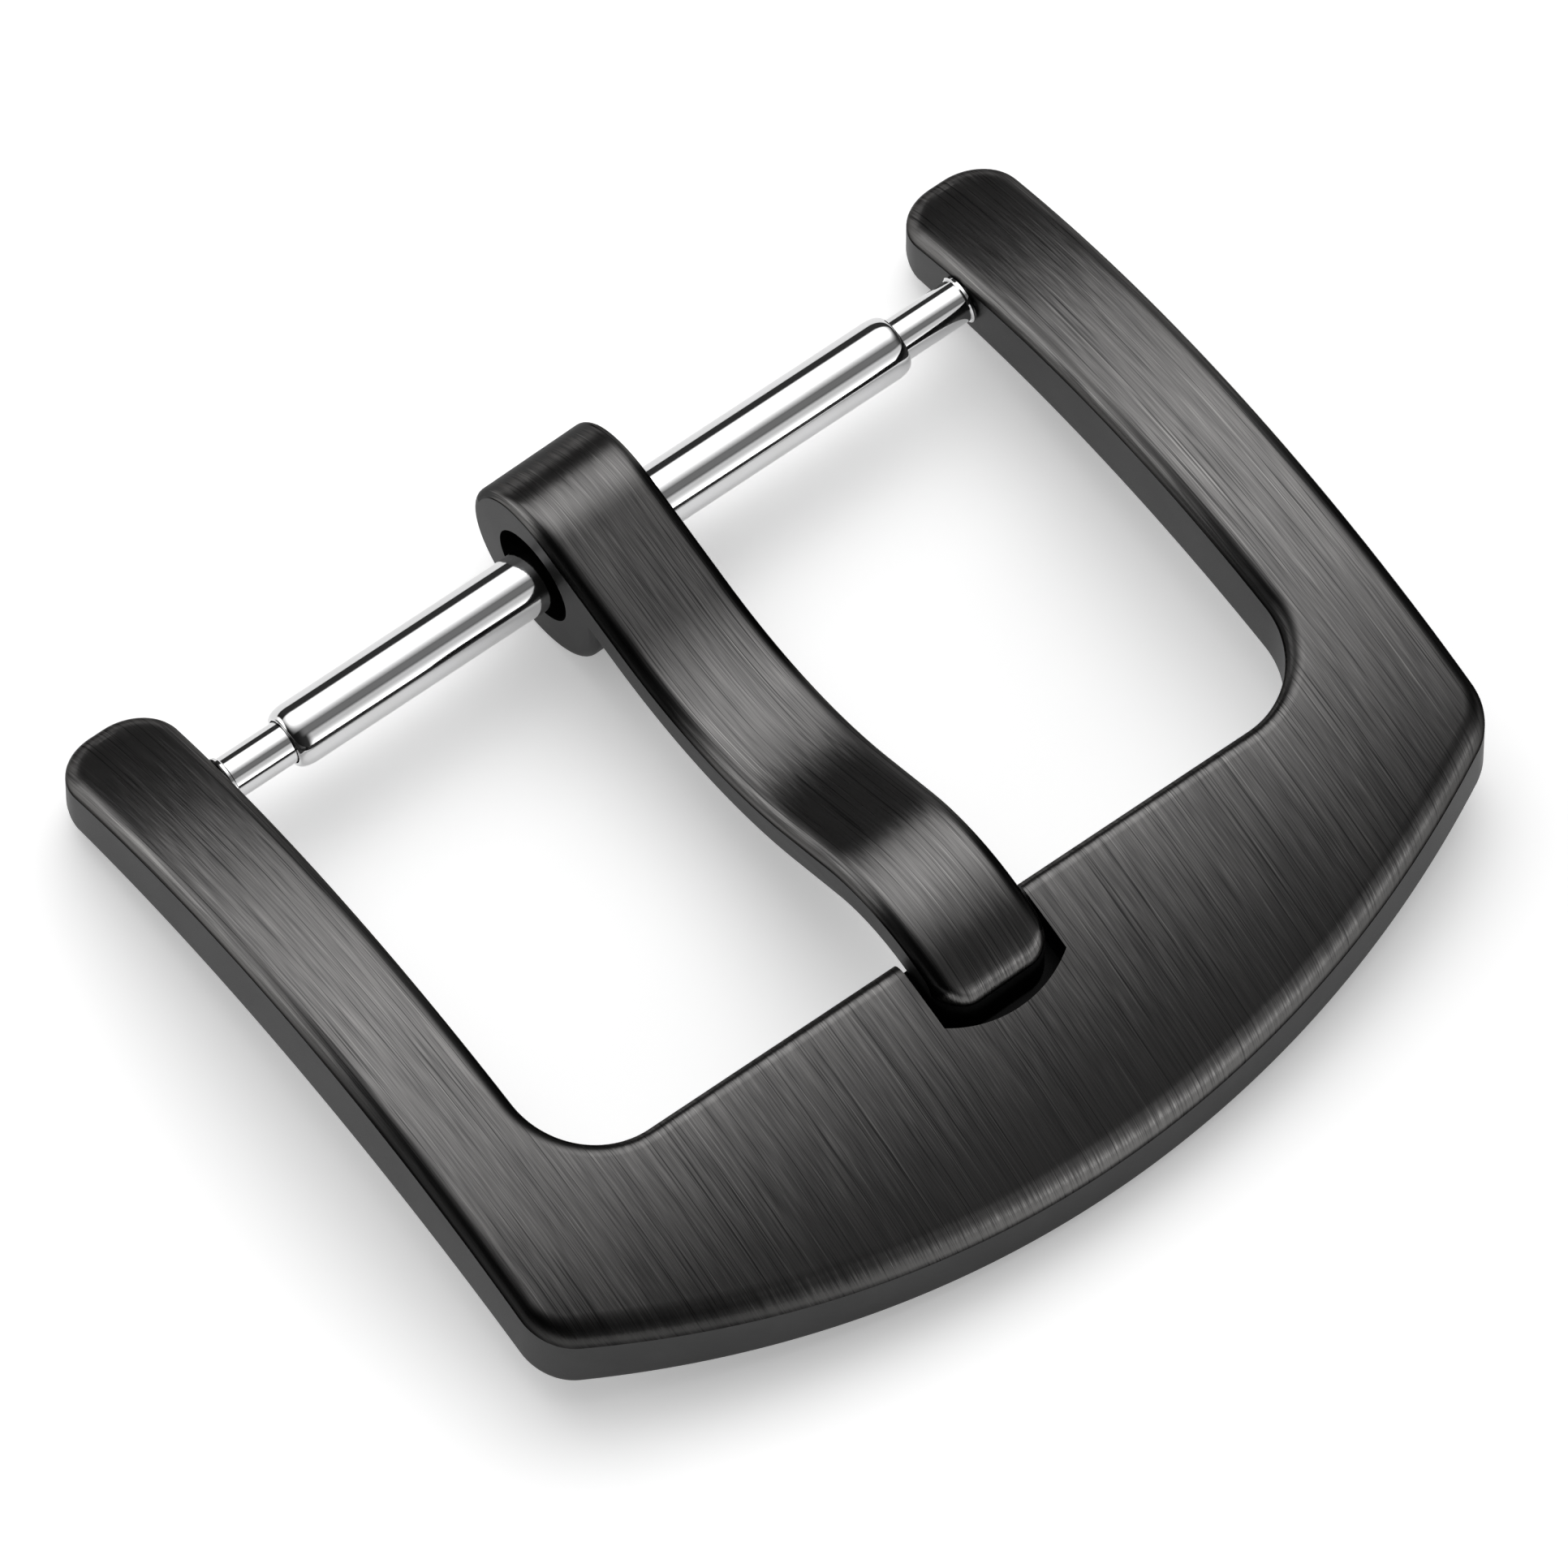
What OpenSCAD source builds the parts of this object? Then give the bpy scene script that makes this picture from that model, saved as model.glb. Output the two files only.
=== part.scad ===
// Watch strap buckle: an arched two-armed frame with a tongue on a spring bar.
// Row frame: origin under the middle of the frame on the resting surface, +X
// along the bar, -Y towards the front bar, +Z up.

/* [Assembly] */
// Which sub-part to draw

/* [Frame] */
// Width of the strap that fits between the arms
strap_w = 20; // [16:1:26]
// Clearance between the strap and each arm
strap_gap = 0.12; // [0.1:0.02:0.5]
// Widening of the window from the arm ends to the front bar, each side
splay = 0.13; // [0:0.01:0.4]
// Width of each arm at its end
arm_w = 2.78; // [2:0.02:4]
// Widening of the outer sides from the arm ends to the front corners
flare = 0.07; // [0:0.01:0.3]
// Overall length from the arm ends to the front edge
frame_l = 21.8; // [18:0.1:28]
// Depth of the front bar at its middle
front_w = 5.95; // [4:0.05:8]
// Thickness at the crown of the arch
crown_t = 2.58; // [1.8:0.02:3.5]
// Height of the arm ends above the resting surface, which the eye touches
ends_z = 0.13; // [0:0.01:0.5]
// Radius of the arched top face
top_r = 25.4; // [20:0.2:60]
// Radius of the arched underside
under_r = 32.6; // [22:0.2:80]
// Plan radius of the front edge
front_r = 27.1; // [20:0.1:60]
// Radius of the outer front corners
corner_r = 1.35; // [0.6:0.05:3]
// Radius of the inner front corners
window_r = 2.1; // [1:0.1:4]
// Plan radius of the arm ends
end_r = 1.2; // [0.6:0.05:1.3]
// Rounding of the top edges
edge_top_r = 0.45; // [0.2:0.05:0.7]
// Rounding of the bottom edges
edge_low_r = 0.4; // [0.1:0.05:0.5]
// Rounding of the bottom edge across the arm ends
end_low_r = 0.7; // [0.1:0.05:0.9]
// Slight doming of the top face across each bar
face_dome = 0.03; // [0.01:0.01:0.1]
// Slight hollow of the underside across each bar
face_hollow = 0.02; // [0.01:0.01:0.1]

/* [Tongue notch] */
// Width of the notch in the front bar
notch_w = 3.32; // [2.4:0.02:5]
// Sideways place of the notch from the middle
notch_x = 0.16; // [-0.5:0.02:0.5]
// Reach of the notch into the front bar at its middle
notch_reach = 2.35; // [1:0.05:3]
// Bow of the notch's front wall
notch_bow = 0.5; // [0.1:0.05:0.8]
// Depth of the notch floor under the top face
notch_depth = 0.95; // [0.5:0.05:1.4]

/* [Spring bar] */
// Distance from the arm ends to the bar axis
bar_setback = 2.86; // [2:0.02:5]
// Height of the bar axis above the resting surface
bar_z = 2.2; // [1.6:0.01:3]
// Outer diameter of the tube
tube_d = 1.5; // [1.3:0.05:2]
// Sideways place of the floating tube from the middle
tube_x = -0.09; // [-0.1:0.01:0.1]
// Wall of the tube
tube_wall = 0.11; // [0.08:0.01:0.2]
// Shoulder shaft showing between tube and arm at each end
shaft_show = 1.8; // [1.3:0.05:2.5]
// Diameter of the shoulder shaft
shaft_d = 1.04; // [0.8:0.02:1.3]
// Length of the rolled-in tube ends
roll_l = 0.42; // [0.2:0.02:0.8]
// Diameter of the pivots that enter the arms
pivot_d = 0.8; // [0.6:0.02:1]
// Length of the pivot inside the arm
pivot_in = 1.05; // [0.6:0.05:1.4]
// Running clearance around the pivots and plungers
run_gap = 0.03; // [0.02:0.01:0.08]
// Wire of the coil spring
wire_d = 0.16; // [0.1:0.02:0.24]
// Turns of the coil spring
coils = 16; // [8:1:24]

/* [Tongue] */
// Width of the tongue
tongue_w = 2.95; // [2:0.05:4.5]
// Thickness of the blade
tongue_t = 1.2; // [0.8:0.05:1.8]
// Outer radius of the eye
eye_r = 2.2; // [1.6:0.05:2.8]
// Radius of the hole in the eye
eye_hole_r = 1.19; // [0.9:0.01:1.5]
// Distance of the loose eye's centre behind the bar axis
eye_back = 0.1; // [0:0.02:0.3]
// Sideways place of the eye from the middle
tongue_x = -0.14; // [-0.5:0.02:0.5]
// Lean of the loose blade towards one side
tongue_lean = 1.15; // [-2:0.05:2]
// Downward slope of the blade behind the valley
fall_a = 16.5; // [5:0.5:30]
// Straight length from the eye to the valley bend
fall_l = 2.82; // [1:0.02:6]
// Bend radius of the valley
valley_r = 8; // [4:0.1:16]
// Upward slope between the valley and the crest
rise_a = 24; // [10:0.5:40]
// Straight length between the valley and the crest
rise_l = 1.71; // [0.5:0.01:5]
// Bend radius of the crest
crest_r = 4.44; // [3:0.02:8]
// Gap between the tip and the front wall of the notch
tip_gap = 0.5; // [0.15:0.01:0.8]
// Rounding of the tongue's top edges
blade_top_r = 0.4; // [0.1:0.02:0.5]
// Rounding of the tongue's lower edges
blade_low_r = 0.12; // [0.05:0.01:0.3]
// Plan radius of the tip corners
tip_corner_r = 0.75; // [0.3:0.05:1.2]
// Gap under the tip where it rests in the notch
rest_gap = 0.02; // [0.01:0.01:0.05]

/* [Hidden] */
$fn = 72;
eps = 0.01;

black = [0.16, 0.16, 0.17];
steel = [0.82, 0.83, 0.85];

half_l = frame_l / 2;
in_x = strap_w / 2 + strap_gap;
out_x = in_x + arm_w;
window_y = -half_l + front_w;
front_cy = -half_l + front_r;
bar_y = half_l - bar_setback;

// The underside arc comes down to ends_z near the arm ends.
under_rise = ends_z + under_r - sqrt(pow(under_r, 2) - pow(half_l - edge_low_r, 2));
crown_z = under_rise + crown_t;
top_cz = crown_z - top_r;
under_cz = under_rise - under_r;

// Centres of the inner and the outer front corner.
window_cx = in_x + splay - window_r;
window_cy = window_y + window_r;
corner_cx = out_x + flare - corner_r;
corner_cy = front_cy - sqrt(pow(front_r - corner_r, 2) - pow(corner_cx, 2));
end_cy = half_l - end_r;

// Sides of an arm at y: parallel at the end, widest at the front corners.
function widening(y, y0) = sin(90 * min(1, max(0, (end_cy - y) / (end_cy - y0))));
function arm_in(y) = in_x + splay * widening(y, window_cy);
function arm_out(y) = out_x + flare * widening(y, corner_cy);
bar_wall = arm_in(bar_y);

// Steps of the frame's loft: stations along it and points round each section.
front_steps = 10;
fan_front = 3;
fan_turn = 6;
fan_side = 3;
fan_steps = fan_front + fan_turn + fan_side;
arm_steps = 9;
end_steps = 8;
face_steps = 6;
top_steps = 5;
low_steps = 3;

// Steps of the blade, of the rolled tube ends and of the spring's helix.
blade_steps = 34;
tip_steps = 7;
roll_steps = 5;
coil_seg = 12;
wire_sides = 6;

// Small sizes of the hidden pieces.
nose_r = 0.28;
bore_floor = 0.15;
eye_lap = 0.2;
roll_lip = 0.05;
head_l = 0.5;
head_back = 0.1;
guide_l = 0.6;
guide_r = 0.3;
tip_chamfer = 0.08;
collar_l = 0.12;
collar_r = 0.58;
collar_gap = 0.03;
seat_gap = 0.01;

function top_z(y) = top_cz + sqrt(pow(top_r, 2) - pow(y, 2));
function under_z(y) = under_cz + sqrt(pow(under_r, 2) - pow(y, 2));

// A station is [inner point, inner normal, outer point, outer normal] in plan.
// The front arc meets the corner arc where its normal turns to corner_a.
corner_a = atan2(front_cy - corner_cy, corner_cx);
corner_x = front_r * cos(corner_a);
fan_x = 0.72 * corner_x;
function mix(a, b, t) = a + (b - a) * t;
function dir(a) = [cos(a), sin(a)];
function on_front(x) =
    let (a = -acos(x / front_r))
    [[0, front_cy] + front_r * dir(a), dir(a)];
function front_station(i) =
    concat([[window_cx * i / front_steps, window_y], [0, 1]], on_front(fan_x * i / front_steps));

// Outer points opposite the window corner: front arc, corner arc, arm side.
function fan_outer(i) =
    i < fan_front ? on_front(mix(fan_x, corner_x, i / fan_front))
    : i < fan_front + fan_turn
        ? let (a = -corner_a * (1 - (i - fan_front) / fan_turn))
          [[corner_cx, corner_cy] + corner_r * dir(a), dir(a)]
    : let (y = mix(corner_cy, window_cy, (i - fan_front - fan_turn) / fan_side))
      [[arm_out(y), y], [1, 0]];
function fan_station(i) =
    let (a = -90 + 90 * i / fan_steps)
    concat([[window_cx, window_cy] + window_r * dir(a), -dir(a)], fan_outer(i));
function arm_station(i) =
    let (y = mix(window_cy, end_cy, i / arm_steps))
    [[arm_in(y), y], [-1, 0], [arm_out(y), y], [1, 0]];
function end_station(i) =
    let (a = 90 * i / end_steps, dx = end_r * (1 - cos(a)), y = end_cy + end_r * sin(a))
    [[in_x + dx, y], [-cos(a), sin(a)], [out_x - dx, y], [cos(a), sin(a)]];
half_stations = concat(
    [for (i = [0 : front_steps - 1]) front_station(i)],
    [for (i = [0 : fan_steps - 1]) fan_station(i)],
    [for (i = [0 : arm_steps - 1]) arm_station(i)],
    [for (i = [0 : end_steps]) end_station(i)]);
stations = concat(
    [for (i = [len(half_stations) - 1 : -1 : 1]) [for (p = half_stations[i]) [-p[0], p[1]]]],
    half_stations);

// Points of a rounded edge, turning from the face (0) to the wall (90).
function edge_top(p, n, a) =
    let (q = p - n * edge_top_r * (1 - sin(a)))
    [q[0], q[1], top_z(q[1]) - edge_top_r * (1 - cos(a))];
function low_r(y) = mix(edge_low_r, end_low_r, sin(90 * max(0, (y - end_cy) / end_r)));
function edge_low(p, n, a) =
    let (r = low_r(p[1]), q = p - n * r * (1 - sin(a)))
    [q[0], q[1], under_z(q[1]) + r * (1 - cos(a))];
// Points across the two faces, t running from the inner to the outer edge.
function bulge(t, h) = 4 * h * t * (1 - t);
function face_top(s, t) =
    let (q = mix(s[0] - s[1] * edge_top_r, s[2] - s[3] * edge_top_r, t))
    [q[0], q[1], top_z(q[1]) + bulge(t, face_dome)];
function face_low(s, t) =
    let (q = mix(s[0] - s[1] * low_r(s[0][1]), s[2] - s[3] * low_r(s[2][1]), t))
    [q[0], q[1], under_z(q[1]) + bulge(t, face_hollow)];

// One closed section: top face outwards, outer wall, underside, inner wall.
function section(s) = concat(
    [for (i = [0 : face_steps]) face_top(s, i / face_steps)],
    [for (i = [1 : top_steps]) edge_top(s[2], s[3], 90 * i / top_steps)],
    [for (i = [low_steps : -1 : 1]) edge_low(s[2], s[3], 90 * i / low_steps)],
    [for (i = [face_steps : -1 : 0]) face_low(s, i / face_steps)],
    [for (i = [1 : low_steps]) edge_low(s[0], s[1], 90 * i / low_steps)],
    [for (i = [top_steps : -1 : 1]) edge_top(s[0], s[1], 90 * i / top_steps)]);

// Triangles between successive rings of m points.
function skin(rings, m) =
    [for (i = [0 : rings - 2]) for (j = [0 : m - 1])
        let (a = i * m + j, b = i * m + (j + 1) % m)
        each [[a, a + m, b], [b, a + m, b + m]]];
// Strips that close a ring between its face rows of k steps, starting at c.
function ring_cap(c, m, k) =
    let (n = m / 2 - k - 1)
    concat([for (j = [0 : k]) [c + m - 1, c + j, c + j + 1]],
           [for (j = [1 : n - 1]) each [[c + k + j, c + k + j + 1, c + m - j],
                                        [c + k + j + 1, c + m - j - 1, c + m - j]]],
           [for (j = [0 : k]) [c + m - n, c + k + n + j, c + k + n + j + 1]]);
function reversed(faces) =
    [for (f = faces) [for (i = [len(f) - 1 : -1 : 0]) f[i]]];

module frame_body() {
    rings = len(stations);
    m = 2 * (face_steps + 1 + top_steps + low_steps);
    polyhedron(
        points = [for (s = stations) each section(s)],
        faces = concat(skin(rings, m), ring_cap(0, m, face_steps),
                       reversed(ring_cap((rings - 1) * m, m, face_steps))));
}

// Notch in the front bar: bowed front wall, floor that follows the top face.
notch_arc_r = (pow(notch_w / 2, 2) + pow(notch_bow, 2)) / (2 * notch_bow);
floor_r = top_r - notch_depth;
module notch_cut() {
    tall = 2 * crown_z;
    difference() {
        translate([notch_x, window_y, 0]) intersection() {
            translate([-notch_w / 2, -notch_reach, 0])
                cube([notch_w, notch_reach + edge_top_r, tall]);
            translate([0, notch_arc_r - notch_reach, 0])
                cylinder(r = notch_arc_r, h = tall, $fn = 180);
        }
        translate([notch_x, 0, top_cz])
            rotate([0, 90, 0])
                cylinder(r = floor_r, h = 2 * notch_w, center = true, $fn = 360);
    }
}

module buckle_frame() {
    color(black) difference() {
        frame_body();
        notch_cut();
        for (side = [-1, 1])
            translate([side * bar_wall, bar_y, bar_z])
                rotate([0, side * 90, 0])
                    translate([0, 0, -eps])
                        cylinder(r = pivot_d / 2 + run_gap, h = pivot_in + bore_floor + eps);
    }
}

// The blade's side profile, u counted from the bar axis towards the tip: a fall
// from the eye, the valley arc, a rise and the crest arc.
fall_u = eye_r * sin(fall_a) - eye_back;
fall_z = eye_r * cos(fall_a);
valley_u = fall_u + fall_l * cos(fall_a) + valley_r * sin(fall_a);
valley_cz = fall_z - fall_l * sin(fall_a) + valley_r * cos(fall_a);
rise_u = valley_u + valley_r * sin(rise_a);
rise_z = valley_cz - valley_r * cos(rise_a);
crest_u = rise_u + rise_l * cos(rise_a) + crest_r * sin(rise_a);
crest_cz = rise_z + rise_l * sin(rise_a) - crest_r * cos(rise_a);
tip_u = bar_y - window_y + notch_reach - tip_gap;

// Height of the profile at u, d being the depth below the top surface.
function profile_z(u, d) =
    u < valley_u - (valley_r + d) * sin(fall_a) ? fall_z - (u - fall_u) * tan(fall_a) - d / cos(fall_a)
    : u < valley_u + (valley_r + d) * sin(rise_a)
        ? valley_cz - sqrt(pow(valley_r + d, 2) - pow(u - valley_u, 2))
    : u < crest_u - (crest_r - d) * sin(rise_a)
        ? rise_z + (u - rise_u) * tan(rise_a) - d / cos(rise_a)
    : crest_cz + sqrt(max(0, pow(crest_r - d, 2) - pow(u - crest_u, 2)));
// The underside flattens where the tip lies on the notch floor.
function seat_z(u) =
    top_cz + sqrt(pow(floor_r, 2) - pow(bar_y - u, 2)) + rest_gap - bar_z;
function blade_low_z(u) =
    let (z = profile_z(u, tongue_t)) u < crest_u ? z : max(z, seat_z(u));

// Inset of a surface that ends in a rounding of radius r, d from the end.
function end_inset(r, d) = d < r ? r - sqrt(pow(r, 2) - pow(r - d, 2)) : 0;
function corner(x, z, r, a0, n) =
    [for (i = [0 : n]) [x + r * cos(a0 - 90 * i / n), z + r * sin(a0 - 90 * i / n)]];
function blade_section(u) =
    let (d = tip_u - u,
         w = tongue_w / 2 - end_inset(tip_corner_r, d),
         zt = profile_z(u, 0) - end_inset(nose_r, d),
         zb = blade_low_z(u) + end_inset(blade_low_r, d),
         rt = blade_top_r,
         rb = blade_low_r)
    [for (p = concat(
            corner(-w + rt, zt - rt, rt, 180, top_steps),
            corner(w - rt, zt - rt, rt, 90, top_steps),
            corner(w - rb, zb + rb, rb, 0, low_steps),
            corner(-w + rb, zb + rb, rb, -90, low_steps)))
        [p[0], -u, p[1]]];
blade_us = concat(
    [for (i = [0 : blade_steps - 1]) mix(fall_u, tip_u - tip_corner_r, i / blade_steps)],
    [for (i = [tip_steps : -1 : 0]) tip_u - tip_corner_r * (1 - cos(90 * i / tip_steps))]);

module blade() {
    m = 2 * (top_steps + low_steps + 2);
    rings = len(blade_us);
    polyhedron(
        points = [for (u = blade_us) each blade_section(u)],
        faces = concat(reversed(skin(rings, m)), [[for (j = [m - 1 : -1 : 0]) j]],
                       [[for (j = [0 : m - 1]) (rings - 1) * m + j]]));
}

// Eye: a short tube along X with rounded outer rims.
module eye() {
    h = tongue_w / 2;
    rotate_extrude()
        polygon(concat(
            [[eye_hole_r - eye_lap, -h]],
            [for (i = [0 : top_steps])
                let (a = -90 + 90 * i / top_steps)
                [eye_r - blade_top_r * (1 - cos(a)), -h + blade_top_r * (1 + sin(a))]],
            [for (i = [0 : top_steps])
                let (a = 90 * i / top_steps)
                [eye_r - blade_top_r * (1 - cos(a)), h - blade_top_r * (1 - sin(a))]],
            [[eye_hole_r - eye_lap, h]]));
}

module at_eye() {
    translate([0, eye_back, 0]) rotate([0, 90, 0]) children();
}
module tongue() {
    color(black)
        translate([tongue_x, bar_y, bar_z])
            rotate([0, 0, tongue_lean])
                difference() {
                    union() {
                        at_eye() eye();
                        blade();
                    }
                    at_eye() cylinder(r = eye_hole_r, h = 2 * tongue_w, center = true);
                }
}

module along_bar() {
    translate([0, bar_y, bar_z])
        rotate([0, 90, 0])
            children();
}

// Tube with both ends rolled in over the shoulders of the plungers.
tube_r = tube_d / 2;
bore_r = tube_r - tube_wall;
shaft_r = shaft_d / 2;
tube_half = bar_wall - shaft_show;
roll_r = shaft_r + run_gap;
roll_x = tube_half - roll_l;
function rolled(r0, r1, x0, x1) =
    [for (i = [0 : roll_steps])
        let (a = 90 * i / roll_steps)
        [mix(r1, r0, cos(a)), mix(x0, x1, sin(a))]];
tube_outer = rolled(tube_r, roll_r + roll_lip, roll_x, tube_half);
tube_inner = rolled(bore_r, roll_r, roll_x, tube_half - tube_wall);
module spring_bar_tube() {
    n = roll_steps;
    color(steel)
        along_bar()
            translate([0, 0, tube_x])
                rotate_extrude()
                    polygon(concat(
                        [for (i = [n : -1 : 0]) [tube_outer[i][0], -tube_outer[i][1]]],
                        tube_outer,
                        [[roll_r, tube_half]],
                        [for (i = [n : -1 : 0]) tube_inner[i]],
                        [for (p = tube_inner) [p[0], -p[1]]],
                        [[roll_r, -tube_half]]));
}

// Plunger: guide pin, head kept in by the rolled end, shoulder shaft, collar
// against the arm and the pivot that enters it.
pivot_r = pivot_d / 2;
head_r = bore_r - run_gap;
head_x = roll_x - head_back;
collar_x = bar_wall - collar_gap;
pivot_end = bar_wall + pivot_in;
module plunger() {
    rotate_extrude()
        polygon([
            [0, head_x - head_l - guide_l],
            [guide_r - tip_chamfer, head_x - head_l - guide_l],
            [guide_r, head_x - head_l - guide_l + tip_chamfer],
            [guide_r, head_x - head_l],
            [head_r, head_x - head_l],
            [head_r, head_x],
            [shaft_r, head_x],
            [shaft_r, collar_x - collar_l],
            [collar_r, collar_x - collar_l],
            [collar_r, collar_x],
            [pivot_r, collar_x],
            [pivot_r, pivot_end - tip_chamfer],
            [pivot_r - tip_chamfer, pivot_end],
            [0, pivot_end]]);
}
module plunger_right() {
    color(steel) along_bar() plunger();
}
module plunger_left() {
    color(steel) along_bar() mirror([0, 0, 1]) plunger();
}

// Coil spring that pushes the two plungers apart.
wire_r = wire_d / 2;
coil_r = bore_r - run_gap - wire_r;
coil_half = head_x - head_l - wire_r - seat_gap;
module coil_spring() {
    turns = coils * coil_seg;
    a_step = 360 / coil_seg;
    pts = [for (i = [0 : turns]) for (k = [0 : wire_sides - 1])
        let (a = i * a_step, b = 360 * k / wire_sides, r = coil_r + wire_r * cos(b))
        [r * cos(a), r * sin(a), mix(-coil_half, coil_half, i / turns) + wire_r * sin(b)]];
    color(steel)
        along_bar()
            polyhedron(
                points = pts,
                faces = concat(skin(turns + 1, wire_sides),
                               [[for (k = [0 : wire_sides - 1]) k]],
                               [[for (k = [wire_sides - 1 : -1 : 0]) turns * wire_sides + k]]));
}

buckle_frame();
tongue();
spring_bar_tube();
plunger_left();
plunger_right();
coil_spring();
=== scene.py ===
"""Watch strap buckle: dressed pieces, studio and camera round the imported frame.

Sizes are in millimetres and turn into metres where a mesh is made. They repeat
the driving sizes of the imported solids, so each piece lies on its node.
"""
from collections import namedtuple
from math import (acos, asin, atan, atan2, cos, dist, pi, radians, sin, sqrt,
                  tan)

import bmesh
import bpy
from mathutils import Matrix, Vector


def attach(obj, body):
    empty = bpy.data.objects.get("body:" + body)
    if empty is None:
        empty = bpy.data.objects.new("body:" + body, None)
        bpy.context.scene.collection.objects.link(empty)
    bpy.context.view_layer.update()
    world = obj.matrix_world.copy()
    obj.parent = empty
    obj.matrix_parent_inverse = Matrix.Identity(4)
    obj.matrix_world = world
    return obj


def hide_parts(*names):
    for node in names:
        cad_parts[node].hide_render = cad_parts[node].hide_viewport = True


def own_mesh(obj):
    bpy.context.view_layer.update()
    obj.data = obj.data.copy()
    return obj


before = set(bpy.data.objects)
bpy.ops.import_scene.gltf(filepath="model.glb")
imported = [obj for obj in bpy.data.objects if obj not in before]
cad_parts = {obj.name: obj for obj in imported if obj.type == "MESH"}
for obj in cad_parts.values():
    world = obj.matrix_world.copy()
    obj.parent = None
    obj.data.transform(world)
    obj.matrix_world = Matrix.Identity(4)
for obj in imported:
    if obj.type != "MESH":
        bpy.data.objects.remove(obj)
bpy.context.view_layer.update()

MM = 0.001

# Frame
IN_X = 10.12          # half the opening between the arm ends
OUT_X = 12.9          # half the width across the arm ends
SPLAY = 0.13          # widening of the window towards its corners, each side
FLARE = 0.07          # widening of the outer sides towards the front corners
HALF_L = 10.9
FRONT_W = 5.95        # depth of the front bar at its middle
CROWN_T = 2.58        # thickness at the crown of the arch
ENDS_Z = 0.13         # height of the underside's arc at its ends
TOP_R = 25.4          # arched top face
UNDER_R = 32.6        # arched underside
FRONT_R = 27.1        # front edge in plan
CORNER_R = 1.35       # outer front corners in plan
WINDOW_R = 2.1        # inner front corners in plan
END_R = 1.2           # arm ends in plan
EDGE_TOP_R = 0.45     # rounding of the top edges
FRONT_SOFT = 0.15     # how much further in it reaches along the front edge
EDGE_LOW_R = 0.4      # rounding of the lower edges
END_LOW_R = 0.7       # the same across the arm ends
FACE_DOME = 0.03      # rise of the top face between its edges
FACE_HOLLOW = 0.02    # rise of the underside between its edges
DOME_FULL_W = 1.7     # face width under which both of these fade

# Notch for the tongue
NOTCH_W = 3.32
NOTCH_X = 0.16        # sideways place
NOTCH_REACH = 2.35    # into the front bar at its middle
NOTCH_BOW = 0.5       # bow of its front wall
NOTCH_DEPTH = 0.95    # floor under the top face
NOTCH_OPEN = 0.6      # how far its cutter stands out into the window
NOTCH_LOW_Z = 1.0     # start of its cutter, well under the floor

# Spring bar
BAR_Y = 8.04
BAR_Z = 2.2
TUBE_R = 0.75
TUBE_X = -0.09        # sideways place of the loose tube
TUBE_WALL = 0.11
SHAFT_SHOW = 1.8      # plunger shaft in view between tube and arm
SHAFT_R = 0.52
ROLL_L = 0.42         # length of the tube's rolled ends
ROLL_LIP = 0.05       # flat ring that they leave round the shaft
PIVOT_R = 0.4
PIVOT_IN = 1.05       # reach of the pivot into the arm
RUN_GAP = 0.03        # running clearance
HEAD_L = 0.5          # plunger head inside the tube
HEAD_BACK = 0.1       # from the head to the rolled end
GUIDE_L = 0.6         # pin inside the spring
GUIDE_R = 0.3
TIP_CHAMFER = 0.08    # on guide and pivot
COLLAR_L = 0.12       # collar at the arm
COLLAR_R = 0.58
COLLAR_SOFT = 0.03    # its chamfers
BORE_FLOOR = 0.15     # bore beyond the pivot's end
BORE_OPEN = 0.05      # how far its cutter stands out of the wall

# Coil spring
WIRE_R = 0.08
SEAT_GAP = 0.01       # to the plunger's head
HALF_TURNS = 8
CLOSED_TURNS = 1.25   # tight turns at the end
CLOSED_PITCH = 2.06 * WIRE_R

# Tongue, with u forwards and z up from the bar axis
TONGUE_W = 2.95
TONGUE_T = 1.2
EYE_R = 2.2
EYE_HOLE_R = 1.19
EYE_BACK = 0.1        # centre of the loose eye behind the bar axis
TONGUE_X = -0.14      # sideways place of the eye
TONGUE_LEAN = radians(1.15)
FALL_A = radians(16.5)        # slope down from the eye
FALL_L = 2.82
VALLEY_R = 8.0
RISE_A = radians(24)          # slope up from the valley
RISE_L = 1.71
CREST_R = 4.44
TIP_GAP = 0.5         # to the notch's front wall
REST_GAP = 0.02       # to the notch's floor
BLADE_TOP_R = 0.4     # rounding of the upper edges
BLADE_LOW_R = 0.12    # rounding of the lower edges
TIP_CORNER_R = 0.75   # tip corners in plan
NOSE_R = 0.28         # rounding over the tip
EYE_RIM_R = 0.18      # rounding of the side edges at the eye's back
BRUSH_START = radians(-45)    # where on the eye the streaks start
BRUSH_END = radians(-75)      # where the streaked material ends behind them

# Painted shade: roundings painted darker where the face slopes to the front, and the
# front edge's rounding towards the left
SHADE_FROM = radians(10)
SHADE_OVER = radians(16)
EYE_SHADE_SHIFT = radians(4)
FRONT_NORMAL = -0.5   # the front edge is where the normal's y is lower
FRONT_SHADE_X = -1.0   # on it the painted shade grows from here to the left
FRONT_SHADE_W = 8.0
FRONT_SHADE = 0.8

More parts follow.
